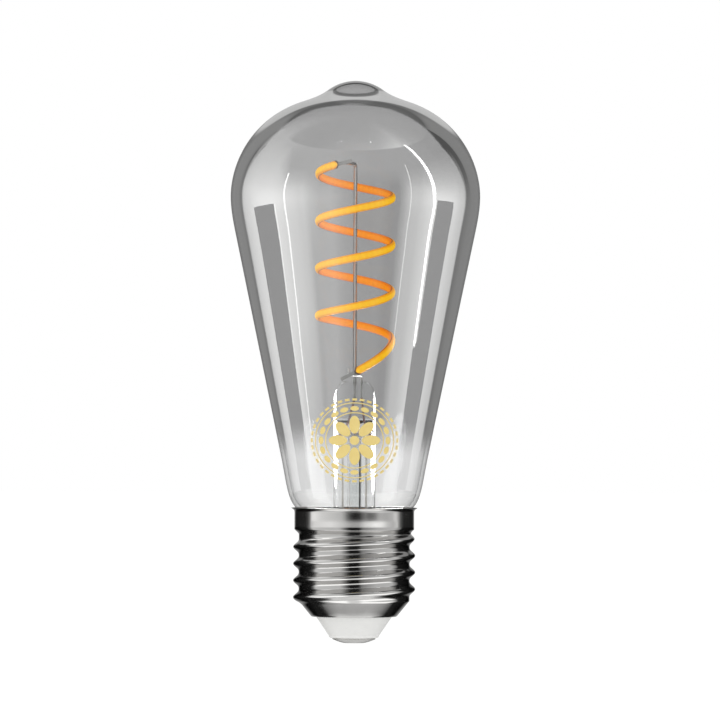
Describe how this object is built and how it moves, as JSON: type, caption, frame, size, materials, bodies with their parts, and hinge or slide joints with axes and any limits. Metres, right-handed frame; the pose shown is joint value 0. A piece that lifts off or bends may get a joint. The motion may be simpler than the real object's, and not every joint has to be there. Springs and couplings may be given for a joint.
{
  "type": "filament light bulb",
  "caption": "Smoked drop-shaped glass filament lamp with a spiral LED filament on a glass stem, and a rolled screw cap that holds its driver board.",
  "frame": {"origin": "centre of the flat face of the bottom contact, on the lamp's axis", "axes": "+Z along the lamp's axis from the contact to the tip of the glass, -Y the front"},
  "size_m": [0.054, 0.054, 0.1216],
  "materials": {
    "smoked_glass": "thin mirror-grey coating on clear glass, fading to clear at the neck",
    "clear_glass": "clear, fire-polished",
    "nickel_wire": "drawn nickel wire",
    "sealing_wire": "copper-clad sealing wire",
    "copper_wire": "tinned copper",
    "filament_base": "thin flexible circuit strip",
    "phosphor": "amber silicone with phosphor, lit",
    "nickel_plate": "bright nickel plate on rolled sheet",
    "cement": "baked basing cement",
    "insulator": "moulded white insulator, satin",
    "carrier": "moulded plastic",
    "board_laminate": "green solder mask on glass-epoxy",
    "chip_body": "moulded black epoxy",
    "capacitor_sleeve": "shrink sleeve on an aluminium can",
    "inductor_body": "ferrite drum with its winding",
    "resistor_body": "lacquered ceramic",
    "radio_laminate": "blue solder mask, with a tinned shield can",
    "aerial_sleeve": "insulated wire"
  },
  "bodies": {
    "root": {"glass_bulb": "smoked_glass", "stem": "clear_glass", "exhaust_tube": "clear_glass", "long_lead_wire": "nickel_wire", "short_lead_wire": "nickel_wire", "seal_wires": "sealing_wire", "outer_lead_wires": "copper_wire", "filament_strip": "filament_base", "filament_outer_phosphor": "phosphor", "filament_inner_phosphor": "phosphor", "upper_end_tab": "nickel_wire", "lower_end_tab": "nickel_wire", "screw_shell": "nickel_plate", "basing_cement": "cement", "cap_insulator": "insulator", "centre_contact": "nickel_plate", "board_carrier": "carrier", "driver_board": "board_laminate", "rectifier": "chip_body", "driver_chip": "chip_body", "smoothing_capacitor": "capacitor_sleeve", "inductor": "inductor_body", "fusible_resistor": "resistor_body", "radio_module": "radio_laminate", "radio_aerial": "aerial_sleeve", "shell_feed_wire": "copper_wire", "contact_feed_wire": "copper_wire"}
  },
  "joints": []
}
